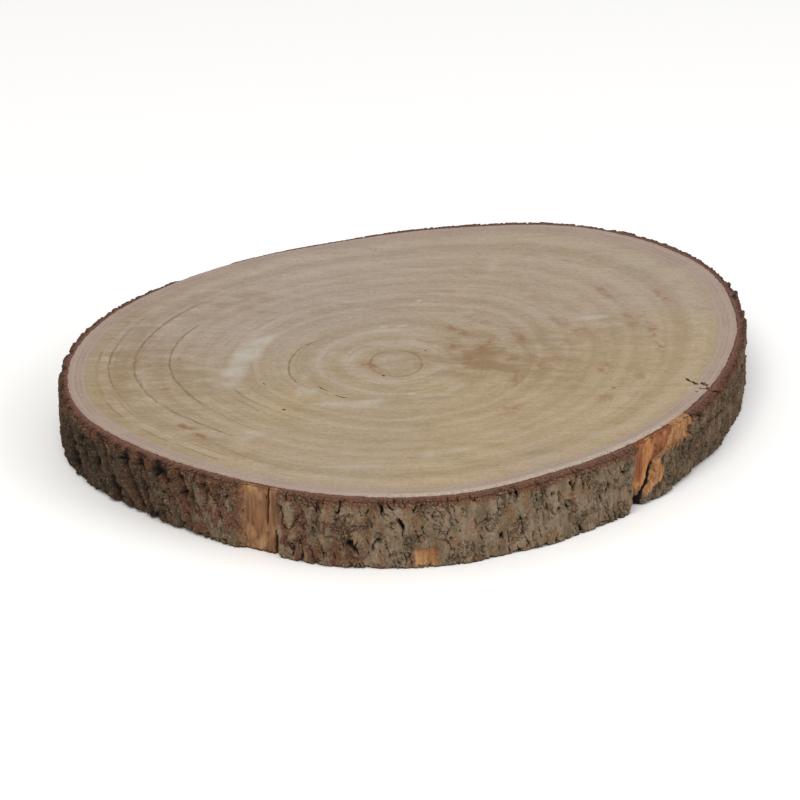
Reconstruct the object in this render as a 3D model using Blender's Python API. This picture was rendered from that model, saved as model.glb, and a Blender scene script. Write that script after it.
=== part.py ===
"""A slice sawn straight across a tree trunk, about 40 cm wide, with its bark still on.

Metres, +Z up. The slice lies on its lower cut face, with its origin under the middle of its box.
Directions are measured in the plan around the pith: 0 is +X, 90 is +Y.
"""
import math

import bmesh
import bpy
from mathutils import Vector, noise

MM = 0.001

THICKNESS = 40 * MM
PITH = Vector((-7.8 * MM, -20.2 * MM, 0.0))

# From the pith to the edge of the wood, every 20 degrees.
WOOD_RADII = [192, 217, 242, 242, 213, 190, 182, 181, 185, 189, 189, 179, 173, 173, 172, 166, 168, 176]
# The bark outside the wood, every 20 degrees. At the back left it has almost all come off.
BARK_WIDTHS = [6, 6, 5, 5, 5, 2, 1, 2.5, 4, 5, 6.5, 7.5, 6, 7, 6, 6.5, 7, 9.5]
# How far the foot of the wall stands in from its top, every 20 degrees.
UNDERCUTS = [0, 0, 0, 0, 0, 0, 0, 0, 0, 0, 0.5, 5, 1, 0, 0, 0, 0.5, 4.5]

# Places where the outer bark is gone: from, to, lowest and highest point, and what is left of it.
BARE_PATCHES = [
    {"start": 243.0, "end": 248.5, "low": -1 * MM, "high": 41 * MM, "left": 0.35},
    {"start": 318.8, "end": 324.0, "low": -1 * MM, "high": 41 * MM, "left": 0.35},
    {"start": 323.5, "end": 331.0, "low": 29 * MM, "high": 41 * MM, "left": 0.35},
    {"start": 330.5, "end": 336.5, "low": 29 * MM, "high": 39 * MM, "left": 0.60},
    {"start": 273.0, "end": 277.5, "low": 3 * MM, "high": 14 * MM, "left": 0.70},
]
PATCH_EDGE_DEG = 0.8
PATCH_EDGE_HEIGHT = 2 * MM

# The furrows run up the trunk and lean a little.
FURROW_DEPTH = 2.2 * MM
FURROW_SPACING = 15 * MM
FURROW_LENGTH = 110 * MM
FURROW_LEAN = 0.25
FURROW_SHARE = 0.28
SWELL_DEPTH = 1.0 * MM
SWELL_SIZE = 45 * MM

# A crumb broken off the lower edge beside the wider bare strip.
CHIP_CENTRE_DEG = 320.4
CHIP_HALF_WIDTH_DEG = 3.6
CHIP_HEIGHT = 8 * MM
CHIP_DEPTH = 9 * MM

# The drying check in the upper face, near the rim: its middle seen from the pith, and its sizes.
CHECK_MIDDLE = Vector((173 * MM, -31 * MM, 0.0))
CHECK_LENGTH = 21 * MM
CHECK_TURN_DEG = -51.0
CHECK_WIDTH = 2.2 * MM
CHECK_DEPTH = 9 * MM
CHECK_INNER_SHARE = 0.3
CHECK_FOOT_SHARE = 0.1

COLUMNS = 288
ROWS = 7

WOOD_COLOUR = (0.46, 0.37, 0.25, 1.0)
WOOD_ROUGHNESS = 0.75
BARK_COLOUR = (0.13, 0.09, 0.06, 1.0)
BARK_ROUGHNESS = 0.95


def around(values, degrees):
    """Smooth closed curve through values that stand evenly round the pith."""
    place = (degrees / 360.0) % 1.0 * len(values)
    index = int(place)
    t = place - index
    before, here, after, beyond = (values[(index + step) % len(values)] for step in (-1, 0, 1, 2))
    slope = after - before
    bend = 2 * before - 5 * here + 4 * after - beyond
    twist = 3 * (here - after) + beyond - before
    return here + 0.5 * t * (slope + t * (bend + t * twist))


def ramp(value, start, end):
    """0 up to start, 1 from end on, smooth between them."""
    t = min(max((value - start) / (end - start), 0.0), 1.0)
    return t * t * (3 - 2 * t)


def inside(value, low, high, edge):
    """1 between low and high, 0 outside them, smooth over edge."""
    return ramp(value, low - edge, low) * (1 - ramp(value, high, high + edge))


def bark_left(degrees, height):
    """Share of the bark that is still on, 1 where it is whole."""
    left = 1.0
    for patch in BARE_PATCHES:
        across = inside(degrees, patch["start"], patch["end"], PATCH_EDGE_DEG)
        up = inside(height, patch["low"], patch["high"], PATCH_EDGE_HEIGHT)
        left = min(left, 1 - across * up * (1 - patch["left"]))
    return left


def furrows(point):
    """Depth of the bark's furrows and swells at a point on the trunk."""
    lean = Vector((-point.y, point.x, 0.0)).normalized() * point.z * FURROW_LEAN
    spot = point + lean
    grain = Vector((spot.x / FURROW_SPACING, spot.y / FURROW_SPACING, spot.z / FURROW_LENGTH))
    valley = 1 - ramp(abs(noise.noise(grain)), 0.0, FURROW_SHARE)
    swell = noise.noise(point / SWELL_SIZE)
    return FURROW_DEPTH * valley + SWELL_DEPTH * swell


def wall_radius(degrees, height):
    """From the pith to the outside of the slice."""
    wood = around(WOOD_RADII, degrees) * MM
    whole = around(BARK_WIDTHS, degrees) * MM
    left = bark_left(degrees, height)
    turn = math.radians(degrees)
    point = Vector((math.cos(turn) * wood, math.sin(turn) * wood, height))
    relief = min(furrows(point) * ramp(left, 0.7, 1.0), 0.5 * whole)
    chip_side = 1 - ramp(abs(degrees - CHIP_CENTRE_DEG), 0.0, CHIP_HALF_WIDTH_DEG)
    chip_low = 1 - ramp(height, 0.0, CHIP_HEIGHT)
    lean = around(UNDERCUTS, degrees) * MM * (1 - height / THICKNESS)
    return wood + whole * left - relief - lean - CHIP_DEPTH * chip_side * chip_low


def make_material(name, colour, roughness):
    material = bpy.data.materials.new(name)
    material.use_nodes = True
    surface = material.node_tree.nodes["Principled BSDF"]
    surface.inputs["Base Color"].default_value = colour
    surface.inputs["Roughness"].default_value = roughness
    surface.inputs["Metallic"].default_value = 0.0
    material.diffuse_color = colour
    return material


def make_collection(name):
    collection = bpy.data.collections.new(name)
    bpy.context.scene.collection.children.link(collection)
    return collection


def make_slice(collection):
    """A drum with level rings of points, pushed in and out to the trunk's own outline."""
    bm = bmesh.new()
    bmesh.ops.create_cone(
        bm, cap_ends=True, cap_tris=True, segments=COLUMNS, radius1=1.0, radius2=1.0, depth=THICKNESS
    )
    uprights = [
        edge for edge in bm.edges
        if abs(edge.verts[0].co.z - edge.verts[1].co.z) > 0.5 * THICKNESS
    ]
    bmesh.ops.subdivide_edges(bm, edges=uprights, cuts=ROWS - 1, use_grid_fill=True)
    for vert in bm.verts:
        height = vert.co.z + 0.5 * THICKNESS
        on_wall = math.hypot(vert.co.x, vert.co.y) > 0.5
        turn = math.atan2(vert.co.y, vert.co.x)
        radius = wall_radius(math.degrees(turn) % 360.0, height) if on_wall else 0.0
        vert.co = PITH + Vector((math.cos(turn) * radius, math.sin(turn) * radius, height))
    for face in bm.faces:
        face.smooth = abs(face.normal.z) < 0.5
    mesh = bpy.data.meshes.new("wood_slice")
    bm.to_mesh(mesh)
    bm.free()

    sawn = make_material("sawn_wood", WOOD_COLOUR, WOOD_ROUGHNESS)
    bark = make_material("bark", BARK_COLOUR, BARK_ROUGHNESS)
    mesh.materials.append(sawn)
    mesh.materials.append(bark)
    for polygon in mesh.polygons:
        polygon.material_index = 0 if abs(polygon.normal.z) > 0.9 else 1
    body = bpy.data.objects.new("wood_slice", mesh)
    collection.objects.link(body)
    return body


def make_check_cutter(collection):
    """A thin wedge, nearly sharp at its foot and narrower towards the pith."""
    bm = bmesh.new()
    bmesh.ops.create_cube(bm, size=1.0)
    for vert in bm.verts:
        foot = CHECK_FOOT_SHARE if vert.co.z < 0 else 1.0
        inner = CHECK_INNER_SHARE if vert.co.x < 0 else 1.0
        vert.co.x *= CHECK_LENGTH
        vert.co.y *= CHECK_WIDTH * foot * inner
        vert.co.z *= 2 * CHECK_DEPTH
    mesh = bpy.data.meshes.new("check_cutter")
    bm.to_mesh(mesh)
    bm.free()
    cutter = bpy.data.objects.new("check_cutter", mesh)
    cutter.location = PITH + CHECK_MIDDLE + Vector((0.0, 0.0, THICKNESS))
    cutter.rotation_euler = (0.0, 0.0, math.radians(CHECK_TURN_DEG))
    cutter.display_type = "WIRE"
    cutter.hide_render = True
    collection.objects.link(cutter)
    return cutter


def cut(body, cutter):
    modifier = body.modifiers.new("drying_check", "BOOLEAN")
    modifier.operation = "DIFFERENCE"
    modifier.solver = "EXACT"
    modifier.object = cutter


def main():
    for item in list(bpy.data.objects):
        bpy.data.objects.remove(item, do_unlink=True)
    bpy.context.scene.unit_settings.system = "METRIC"
    body = make_slice(make_collection("wood_slice"))
    cut(body, make_check_cutter(make_collection("cutters")))


main()
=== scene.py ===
import math
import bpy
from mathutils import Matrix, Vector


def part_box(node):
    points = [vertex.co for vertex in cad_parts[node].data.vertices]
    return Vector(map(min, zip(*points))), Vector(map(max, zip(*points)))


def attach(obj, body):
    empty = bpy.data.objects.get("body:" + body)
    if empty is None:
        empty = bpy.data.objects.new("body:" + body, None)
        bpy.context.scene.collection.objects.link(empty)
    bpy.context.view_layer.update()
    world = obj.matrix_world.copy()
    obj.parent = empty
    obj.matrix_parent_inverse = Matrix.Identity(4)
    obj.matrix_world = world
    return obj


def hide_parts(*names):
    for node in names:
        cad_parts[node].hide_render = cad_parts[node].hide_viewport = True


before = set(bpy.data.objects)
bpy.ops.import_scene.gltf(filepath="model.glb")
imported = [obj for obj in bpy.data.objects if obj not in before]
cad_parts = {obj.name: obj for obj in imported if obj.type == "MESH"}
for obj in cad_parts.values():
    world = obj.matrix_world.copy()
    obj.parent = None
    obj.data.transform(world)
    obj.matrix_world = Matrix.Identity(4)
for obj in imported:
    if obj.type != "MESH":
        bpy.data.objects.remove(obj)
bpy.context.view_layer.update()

from types import SimpleNamespace

import bmesh
import bpy
import numpy as np
from mathutils import Vector

# A slice sawn from a poplar trunk, lying on its lower cut face. The wood is one piece; the bark
# round it comes in stretches, parted by two strips where the outer bark has torn away and by one
# gap at the back. Lengths are in millimetres while a piece is shaped and metres once it stands.
# Directions are degrees in the plan around the pith: 0 is +X, 90 is +Y.
MM = 0.001
NODE = "wood_slice"
SEED = 20

node_low, node_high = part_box(NODE)
THICK = (node_high.z - node_low.z) / MM
BOX_MIDDLE = (node_low + node_high) / 2 / MM
FOOT = node_low.z / MM
PITH = (BOX_MIDDLE.x - 7.8, BOX_MIDDLE.y - 20.2)

# From the pith to the edge of the wood, and the bark outside it, every 20 degrees.
WOOD_RADII = [192, 217, 242, 242, 213, 190, 182, 181, 185, 189, 189, 179, 173, 173, 172, 166, 168, 176]
BARK_WIDTHS = [6, 6, 5, 5, 5, 2, 1, 2.5, 4, 5, 6.5, 7.5, 6, 7, 6, 6.5, 7, 9.5]
# How far the foot of the wall stands in from its top, every 20 degrees.
UNDERCUTS = [0, 0, 0, 0, 0, 0, 0, 0, 0, 0.5, 2.5, 5, 1, 0, 0, 0, 0.5, 4.5]
MEAN_RADIUS = 185.0


# -------- shapes and noise

def around(values, degrees):
    """Smooth closed curve through values that stand evenly round the pith."""
    values = np.asarray(values, float)
    place = (degrees / 360.0) % 1.0 * len(values)
    index = place.astype(int)
    t = place - index
    before, here, after, beyond = (values[(index + step) % len(values)] for step in (-1, 0, 1, 2))
    slope = after - before
    bend = 2 * before - 5 * here + 4 * after - beyond
    twist = 3 * (here - after) + beyond - before
    return here + 0.5 * t * (slope + t * (bend + t * twist))


def ramp(value, start, end):
    """0 up to start, 1 from end on, smooth between them. It falls where end is below start."""
    t = np.clip((value - start) / (end - start), 0.0, 1.0)
    return t * t * (3 - 2 * t)


def hill(value, middle, half_width):
    """1 at the middle, falling smoothly to nothing."""
    return np.exp(-((value - middle) / half_width) ** 2)


def chance(seed, *cells):
    """A steady random number from 0 to 1 for each whole-numbered cell."""
    mixed = np.full(np.shape(cells[0]), (seed * 7919 + 17) % 65521, np.uint32)
    for prime, cell in zip((2654435761, 2246822519, 3266489917), cells):
        mixed = mixed ^ (np.asarray(cell).astype(np.int64).astype(np.uint32) * np.uint32(prime))
        mixed = (mixed ^ (mixed >> np.uint32(15))) * np.uint32(739982445)
        mixed = (mixed ^ (mixed >> np.uint32(12))) * np.uint32(695872825)
        mixed = mixed ^ (mixed >> np.uint32(15))
    return mixed / 4294967296.0


def grain(x, y, seed):
    """Smooth noise from about -1 to 1, with lumps about one unit wide."""
    left, low = np.floor(x), np.floor(y)
    total = 0.0
    fade_x, fade_y = (t * t * t * (t * (6 * t - 15) + 10) for t in (x - left, y - low))
    for step_x in (0, 1):
        for step_y in (0, 1):
            turn = 2 * np.pi * chance(seed, left + step_x, low + step_y)
            push = np.cos(turn) * (x - left - step_x) + np.sin(turn) * (y - low - step_y)
            weight_x = fade_x if step_x else 1 - fade_x
            weight_y = fade_y if step_y else 1 - fade_y
            total = total + weight_x * weight_y * push
    return total * 1.5


def layers(x, y, seed, count=3):
    """Noise with finer noise on top of it."""
    total = 0.0
    for level in range(count):
        total = total + grain(x * 2 ** level, y * 2 ** level, seed + level) * 0.55 ** level
    return total


def plates(x, y, seed):
    """Cracked-mud cells: how far from the crack beside it each place is, and its plate's number."""
    column, row = np.floor(x), np.floor(y)
    nearest = np.full(np.shape(x), 9.0)
    second = np.full(np.shape(x), 9.0)
    number = np.zeros(np.shape(x))
    for step_x in (-1, 0, 1):
        for step_y in (-1, 0, 1):
            home_x, home_y = column + step_x, row + step_y
            point_x = home_x + 0.1 + 0.8 * chance(seed, home_x, home_y)
            point_y = home_y + 0.1 + 0.8 * chance(seed + 1, home_x, home_y)
            apart = np.hypot(x - point_x, y - point_y)
            closer = apart < nearest
            second = np.where(closer, nearest, np.minimum(second, apart))
            number = np.where(closer, chance(seed + 2, home_x, home_y), number)
            nearest = np.minimum(nearest, apart)
    return second - nearest, number


# -------- mesh helpers

def deselect():
    if bpy.context.object is not None and bpy.context.object.mode != "OBJECT":
        bpy.ops.object.mode_set(mode="OBJECT")
    bpy.ops.object.select_all(action="DESELECT")


def choose(piece, kind, rule):
    """Selects the piece's edges or faces that the rule takes, and leaves it in edit mode."""
    bpy.ops.object.mode_set(mode="EDIT")
    bpy.ops.mesh.select_mode(type=kind)
    bpy.ops.mesh.select_all(action="DESELECT")
    mesh = bmesh.from_edit_mesh(piece.data)
    for part in mesh.edges if kind == "EDGE" else mesh.faces:
        if rule(part):
            part.select_set(True)
    bmesh.update_edit_mesh(piece.data)


def subdivide(piece, axis, longer, cuts):
    """Cuts up the edges that run further than this along one axis."""
    choose(piece, "EDGE", lambda edge: abs(edge.verts[0].co[axis] - edge.verts[1].co[axis]) > longer)
    bpy.ops.mesh.subdivide(number_cuts=cuts)


def turn_outward():
    """Turns the active piece's faces outwards."""
    bpy.ops.object.mode_set(mode="EDIT")
    bpy.ops.mesh.select_all(action="SELECT")
    bpy.ops.mesh.normals_make_consistent(inside=False)
    bpy.ops.object.mode_set(mode="OBJECT")


def read(parts, name, kind=float, size=1):
    """One value, or one row of them, for each point, corner or face."""
    values = np.empty(len(parts) * size, kind)
    parts.foreach_get(name, values)
    return values if size == 1 else values.reshape(-1, size)


def read_points(piece):
    return read(piece.data.vertices, "co", size=3)


def write_points(piece, points):
    piece.data.vertices.foreach_set("co", np.asarray(points, np.float32).ravel())
    piece.data.update()


def paint(piece, **layers_by_name):
    """Stores one number for each point under each name, for the material to read."""
    for name, values in layers_by_name.items():
        layer = piece.data.attributes.new(name, "FLOAT", "POINT")
        layer.data.foreach_set("value", np.asarray(values, np.float32))


def corners(piece):
    """For each face corner: its point, and its face. For each face: its first corner."""
    mesh = piece.data
    first = read(mesh.polygons, "loop_start", int)
    face = np.repeat(np.arange(len(first)), read(mesh.polygons, "loop_total", int))
    return read(mesh.loops, "vertex_index", int), face, first


def lay_out(piece, flat):
    """Gives the piece one flat layout of its faces."""
    while piece.data.uv_layers:
        piece.data.uv_layers.remove(piece.data.uv_layers[0])
    layout = piece.data.uv_layers.new(name="OFBake")
    layout.data.foreach_set("uv", np.asarray(flat, np.float32).ravel())


def set_down(piece, material, x, y, height, sharp):
    """Puts a shaped piece, still in millimetres from the pith, where it stands."""
    points = np.stack([x + PITH[0], y + PITH[1], height + FOOT], axis=1)
    write_points(piece, points * MM)
    piece.data.materials.clear()
    piece.data.materials.append(material)
    deselect()
    piece.select_set(True)
    bpy.context.view_layer.objects.active = piece
    turn_outward()
    if sharp is None:
        bpy.ops.object.shade_smooth()
    else:
        bpy.ops.object.shade_smooth_by_angle(angle=sharp)
    deselect()
    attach(piece, "root")
    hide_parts(NODE)
    return piece


# -------- materials

TIMES = {"operation": "MULTIPLY"}
TIMES_PLUS = {"operation": "MULTIPLY_ADD"}
COLOURS = {"data_type": "RGBA", "blend_type": "MIX", "clamp_factor": True}
SMOOTH = {"interpolation_type": "SMOOTHSTEP"}
EVEN = (1.0, 1.0, 1.0)


def linear(text):
    """The linear colour of an sRGB hex value."""
    parts = [int(text[i:i + 2], 16) / 255 for i in (1, 3, 5)]
    return tuple(p / 12.92 if p <= 0.04045 else ((p + 0.055) / 1.055) ** 2.4 for p in parts) + (1.0,)


def add(tree, kind, settings=None, inputs=None, out=0):
    """Adds one shader node with its settings and links, and returns one of its outputs."""
    made = tree.nodes.new("ShaderNode" + kind)
    for key, value in (settings or {}).items():
        setattr(made, key, value)
    for key, value in (inputs or {}).items():
        if isinstance(value, bpy.types.NodeSocket):
            tree.links.new(value, made.inputs[key])
        else:
            made.inputs[key].default_value = value
    return made.outputs[out]


def start_finish(name, marks, patterns):
    """A new material with the marks that its mesh holds, and its noise patterns. Each pattern
    has its stretch, the size of its lumps in millimetres, its detail and its roughness."""
    material = bpy.data.materials.new(name)
    material.use_nodes = True
    tree = material.node_tree
    place = add(tree, "TexCoord", out=3)
    found = SimpleNamespace()
    for mark in marks:
        setattr(found, mark, add(tree, "Attribute", {"attribute_name": mark}, out=2))
    for pattern, stretch, size, detail, rough in patterns:
        spot = add(tree, "Mapping", {"vector_type": "POINT"}, {"Vector": place, "Scale": stretch})
        noise = {"Vector": spot, "Scale": 1 / (size * MM), "Detail": detail, "Roughness": rough}
        setattr(found, pattern, add(tree, "TexNoise", {"noise_dimensions": "3D"}, noise))
    return material, tree, tree.nodes["Principled BSDF"], found


def overlay(tree, tint, coats):
    """Lays thin coats over a colour. Each shows more as its value goes from one number to the
    other, up to its strength."""
    for value, start, end, strength, colour in coats:
        ends = {"Value": value, "From Min": start, "From Max": end, "To Max": strength}
        share = add(tree, "MapRange", SMOOTH, ends)
        tint = add(tree, "Mix", COLOURS, {0: share, 6: tint, 7: linear(colour)}, 2)
    return tint


def gated(tree, value, gate, start, end, least=0.0):
    """The value where the gate is open, and its least share of it where the gate is shut."""
    ends = {"Value": gate, "From Min": start, "From Max": end, "To Min": least}
    return add(tree, "Math", TIMES, {0: value, 1: add(tree, "MapRange", SMOOTH, ends)})


def finish(tree, surface, tint, gloss, smooth, dull, shine, relief):
    """Sets the colour, the roughness from smooth to dull, the shine, and the fine relief."""
    tree.links.new(tint, surface.inputs["Base Color"])
    ends = {"Value": gloss, "From Min": 0.3, "From Max": 0.7, "To Min": smooth, "To Max": dull}
    tree.links.new(add(tree, "MapRange", SMOOTH, ends), surface.inputs["Roughness"])
    surface.inputs["IOR"].default_value = 1.45
    surface.inputs["Specular IOR Level"].default_value = shine
    height = 0.0
    for value, depth in relief:
        height = add(tree, "Math", TIMES_PLUS, {0: value, 1: depth * MM, 2: height})
    bump = add(tree, "Bump", None, {"Height": height, "Strength": 1.0, "Distance": 1.0})
    tree.links.new(bump, surface.inputs["Normal"])


def sawn_poplar():
    """Poplar, band-sawn and left dry: dull greenish tan, with faint rings and saw streaks, a paler
    fuzzy rim of sapwood, and whitish rubs and rusty stains where it has been handled."""
    marks = ("ring", "arc_place", "arc", "smear", "stain", "shade", "grey", "lilac", "olive", "lined",
             "fuzz", "side", "check")
    material, tree, surface, found = start_finish("sawn_poplar", marks, (
        ("wander", EVEN, 38.0, 2.0, 0.5), ("jitter", EVEN, 7.0, 1.0, 0.5),
        ("zones", EVEN, 95.0, 2.0, 0.5), ("patchy", EVEN, 30.0, 2.0, 0.5),
        ("mottle", (0.45, 1.0, 1.0), 9.0, 4.0, 0.6), ("broken", EVEN, 8.0, 3.0, 0.7),
        ("saw", (0.06, 1.0, 1.0), 1.6, 3.0, 0.7), ("pores", (0.6, 1.0, 1.0), 1.3, 3.0, 0.8),
        ("crumbs", EVEN, 1.5, 3.0, 0.8), ("fibres", (1.0, 1.0, 0.10), 1.6, 3.0, 0.7),
    ))

    # The rings wander a little. ring is in millimetres from the pith.
    wavy = add(tree, "Math", TIMES_PLUS, {0: found.wander, 1: 6.0, 2: found.ring})
    wavy = add(tree, "Math", TIMES_PLUS, {0: found.jitter, 1: 1.2, 2: wavy})
    for name, along, scale, detail, rough in (
        ("broad", wavy, 0.085, 2.0, 0.5), ("fine", wavy, 0.42, 3.0, 0.65),
        ("hair", found.ring, 1.3, 1.0, 0.5),
    ):
        noise = {"W": along, "Scale": scale, "Detail": detail, "Roughness": rough}
        setattr(found, name, add(tree, "TexNoise", {"noise_dimensions": "1D"}, noise))
    base = overlay(tree, linear("#9b8b74"), [(found.zones, 0.40, 0.62, 1.0, "#9f8c6e")])
    tint = overlay(tree, base, [
        (found.grey, 0, 1, 1, "#9c8e82"), (found.broad, 0.42, 0.66, 0.28, "#806d4e"),
        (found.broad, 0.50, 0.34, 0.22, "#ab9c8b"), (found.olive, 0, 1, 0.34, "#84734d"),
        (found.lilac, 0, 1, 0.48, "#ac9e91"), (found.mottle, 0.52, 0.68, 0.26, "#7f6c52"),
        (found.mottle, 0.46, 0.32, 0.20, "#b0a08c"),
    ])
    lined = gated(tree, found.lined, found.patchy, 0.38, 0.64, 0.15)
    lines = gated(tree, lined, found.fine, 0.54, 0.72)
    tint = overlay(tree, tint, [(lines, 0, 1, 0.85, "#755e42")])

    # A few rings show as thin dark lines, fainter here and there.
    off = add(tree, "Math", {"operation": "SUBTRACT"}, {0: found.jitter, 1: 0.5})
    off = add(tree, "Math", TIMES_PLUS, {0: off, 1: 1.3, 2: found.arc_place})
    off = add(tree, "Math", {"operation": "ABSOLUTE"}, {0: off})
    line = gated(tree, gated(tree, found.arc, found.broken, 0.36, 0.58, 0.60), off, 1.0, 0.1)
    tint = overlay(tree, tint, [
        (line, 0, 1, 0.74, "#66502f"),
        # Saw streaks run straight across the face, whatever the rings do, over open pores.
        (found.saw, 0.42, 0.72, 0.21, "#806e54"), (found.saw, 0.52, 0.30, 0.14, "#b1a390"),
        (found.pores, 0.50, 0.72, 0.44, "#725f46"), (found.pores, 0.48, 0.30, 0.30, "#b6a895"),
        (gated(tree, found.stain, found.broken, 0.40, 0.60, 0.20), 0.0, 0.9, 0.78, "#7e5536"),
        (gated(tree, found.smear, found.broken, 0.34, 0.60, 0.62), 0.0, 0.9, 0.70, "#b0aca2"),
    ])

    # Sapwood: a paler band just inside the bark, with hair-fine lines, and torn fibres at the edge.
    # Then the soft darker patches.
    edge_place = add(tree, "Math", TIMES_PLUS, {0: found.jitter, 1: 2.0, 2: found.ring})
    ends = {"Value": edge_place, "From Min": MEAN_RADIUS - 11.0, "From Max": MEAN_RADIUS - 6.5}
    near_edge = add(tree, "MapRange", SMOOTH, ends)
    lined_edge = gated(tree, near_edge, found.patchy, 0.40, 0.62, 0.35)
    torn = gated(tree, found.fuzz, found.crumbs, 0.40, 0.58, 0.35)
    tint = overlay(tree, tint, [
        (near_edge, 0, 1, 0.80, "#9d8b80"),
        (gated(tree, near_edge, found.crumbs, 0.50, 0.64), 0, 1, 0.42, "#7c675d"),
        (gated(tree, lined_edge, found.hair, 0.50, 0.62), 0, 1, 0.62, "#7c675d"),
        (torn, 0, 1, 0.62, "#c2b6a3"),
        (gated(tree, found.fuzz, found.crumbs, 0.46, 0.34), 0, 1, 0.45, "#85735f"),
        (gated(tree, found.shade, found.mottle, 0.36, 0.60, 0.38), 0, 1, 0.74, "#7d6547"),
    ])

    # The wood's own side, where no bark covers it, and painted shade, near black, on the walls
    # down in the checks and pin holes, with patches of orange-brown fibres.
    bare = overlay(tree, linear("#5f4936"), [(found.fibres, 0.35, 0.68, 1.0, "#8e7860")])
    tint = add(tree, "Mix", COLOURS, {0: found.side, 6: tint, 7: bare}, 2)
    rags = gated(tree, found.check, found.crumbs, 0.48, 0.60)
    tint = overlay(tree, tint, [
        (found.check, 0, 1, 0.96, "#3b2817"), (rags, 0, 1, 0.80, "#8f6d4a"),
    ])
    finish(tree, surface, tint, found.saw, 0.74, 0.86, 0.3, [
        (found.saw, 0.08), (found.fine, 0.10), (found.pores, 0.08),
        (add(tree, "Math", TIMES, {0: found.fibres, 1: found.side}), 0.7), (torn, 0.30),
    ])
    return material


def furrowed_bark():
    """Poplar bark: grey-brown corky plates, warm brown where they are worn, near black down in the
    furrows, partly their own dark colour and partly painted shade, reddish where the saw has cut
    through it, and tan where a plate has torn away."""
    marks = ("furrow", "scaly", "warm", "soot", "red", "torn", "cut", "edge")
    material, tree, surface, found = start_finish("furrowed_bark", marks, (
        ("mottle", (1.0, 1.0, 0.28), 7.0, 4.0, 0.65), ("fibre", (1.0, 1.0, 0.28), 1.3, 3.0, 0.7),
        ("crumbs", EVEN, 1.1, 3.0, 0.75), ("bast", (1.0, 1.0, 0.07), 1.2, 3.0, 0.7),
        ("cloud", (1.0, 1.0, 0.35), 6.0, 2.0, 0.5),
    ))
    # The cork runs from a paler to a darker brown: darker round the back and the left.
    paler_cork = overlay(tree, linear("#64553f"), [(found.mottle, 0.36, 0.64, 1.0, "#877561")])
    darker_cork = overlay(tree, linear("#2a231c"), [(found.mottle, 0.36, 0.64, 1.0, "#4e412e")])
    cork = add(tree, "Mix", COLOURS, {0: found.soot, 6: paler_cork, 7: darker_cork}, 2)
    pitted = add(tree, "Math", TIMES_PLUS, {0: found.scaly, 1: 0.65, 2: 0.25})
    cork = overlay(tree, cork, [
        (gated(tree, found.warm, found.fibre, 0.34, 0.60, 0.20), 0, 1, 0.90, "#80593b"),
        (gated(tree, found.red, found.crumbs, 0.36, 0.60, 0.50), 0, 1, 0.92, "#5c3827"),
        (gated(tree, pitted, found.crumbs, 0.46, 0.60), 0, 1, 0.80, "#30281f"),
        (found.crumbs, 0.44, 0.30, 0.50, "#a8977c"),
    ])
    bast = overlay(tree, linear("#80542f"), [
        (found.bast, 0.34, 0.66, 1.0, "#b58c63"), (found.cloud, 0.46, 0.66, 0.65, "#85563a"),
    ])
    cork = add(tree, "Mix", COLOURS, {0: found.torn, 6: cork, 7: bast}, 2)
    # Near black in the furrows, slits, seams, flake gaps and pits: partly the bark's own dark colour,
    # partly painted shade.
    cork = overlay(tree, cork, [(found.furrow, 0.0, 0.92, 1.0, "#17110d")])

    # The sawn edge: reddish inner bark next to the wood, darker cork outside it.
    across = add(tree, "Math", {"operation": "SUBTRACT"}, {0: found.cut, 1: 0.25})
    across = add(tree, "Math", TIMES_PLUS, {0: found.mottle, 1: 0.5, 2: across})
    sawn = overlay(tree, linear("#412922"), [
        (across, 0.0, 0.25, 1.0, "#745044"), (across, 0.25, 0.55, 1.0, "#61402f"),
        (across, 0.55, 1.0, 1.0, "#33241b"), (found.crumbs, 0.46, 0.62, 0.55, "#2f1f18"),
        (found.crumbs, 0.44, 0.30, 0.45, "#8c6c5d"),
    ])
    cork = add(tree, "Mix", COLOURS, {0: found.edge, 6: cork, 7: sawn}, 2)
    rough = gated(tree, found.crumbs, found.torn, 1.0, 0.0, 0.15)
    finish(tree, surface, cork, found.mottle, 0.82, 0.96, 0.25, [
        (rough, 0.55), (gated(tree, found.fibre, found.torn, 1.0, 0.0), 0.55),
        (gated(tree, found.bast, found.torn, 0.0, 1.0), 0.60),
    ])
    return material


def bare_inner_bark(name, deep, middle, pale):
    """Inner bark laid bare: smooth upright bast fibres, from rusty brown to orange tan, with dirt
    rubbed into its foot."""
    material, tree, surface, found = start_finish(name, ("soil", "furrow", "edge"), (
        ("fibre", (1.0, 1.0, 0.09), 1.5, 3.0, 0.65), ("cloud", (1.0, 1.0, 0.45), 9.0, 3.0, 0.6),
        ("crumbs", (1.0, 1.0, 0.5), 1.4, 3.0, 0.7),
    ))
    tint = overlay(tree, linear(deep), [
        (found.fibre, 0.30, 0.70, 1.0, middle), (found.cloud, 0.46, 0.66, 1.0, pale),
        (found.crumbs, 0.56, 0.70, 0.35, deep),
        (gated(tree, found.soil, found.crumbs, 0.30, 0.62, 0.60), 0, 1, 1, "#574335"),
        # Near black in the cracks: painted shadow, above all where the outer bark stands beside them.
        (found.furrow, 0, 1, 1, "#1d120c"), (found.edge, 0, 1, 1, "#5a3626"),
    ])
    finish(tree, surface, tint, found.cloud, 0.62, 0.80, 0.3, [(found.fibre, 0.5)])
    return material


# -------- the trunk's outline

def wood_edge(degrees, height):
    """From the pith to the edge of the wood: it stands in towards the foot where the cut slants."""
    return around(WOOD_RADII, degrees) - around(UNDERCUTS, degrees) * (1 - height / THICK)


def trunk_length(degrees):
    """How far along the trunk's outline a direction stands, in millimetres from direction 0."""
    turn = np.radians(np.arange(0, 540.25, 0.25))
    radius = around(WOOD_RADII, np.degrees(turn)) + 0.5 * around(BARK_WIDTHS, np.degrees(turn))
    steps = np.hypot(np.diff(radius * np.cos(turn)), np.diff(radius * np.sin(turn)))
    return np.interp(degrees, np.degrees(turn), np.concatenate([[0.0], np.cumsum(steps)]))


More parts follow.
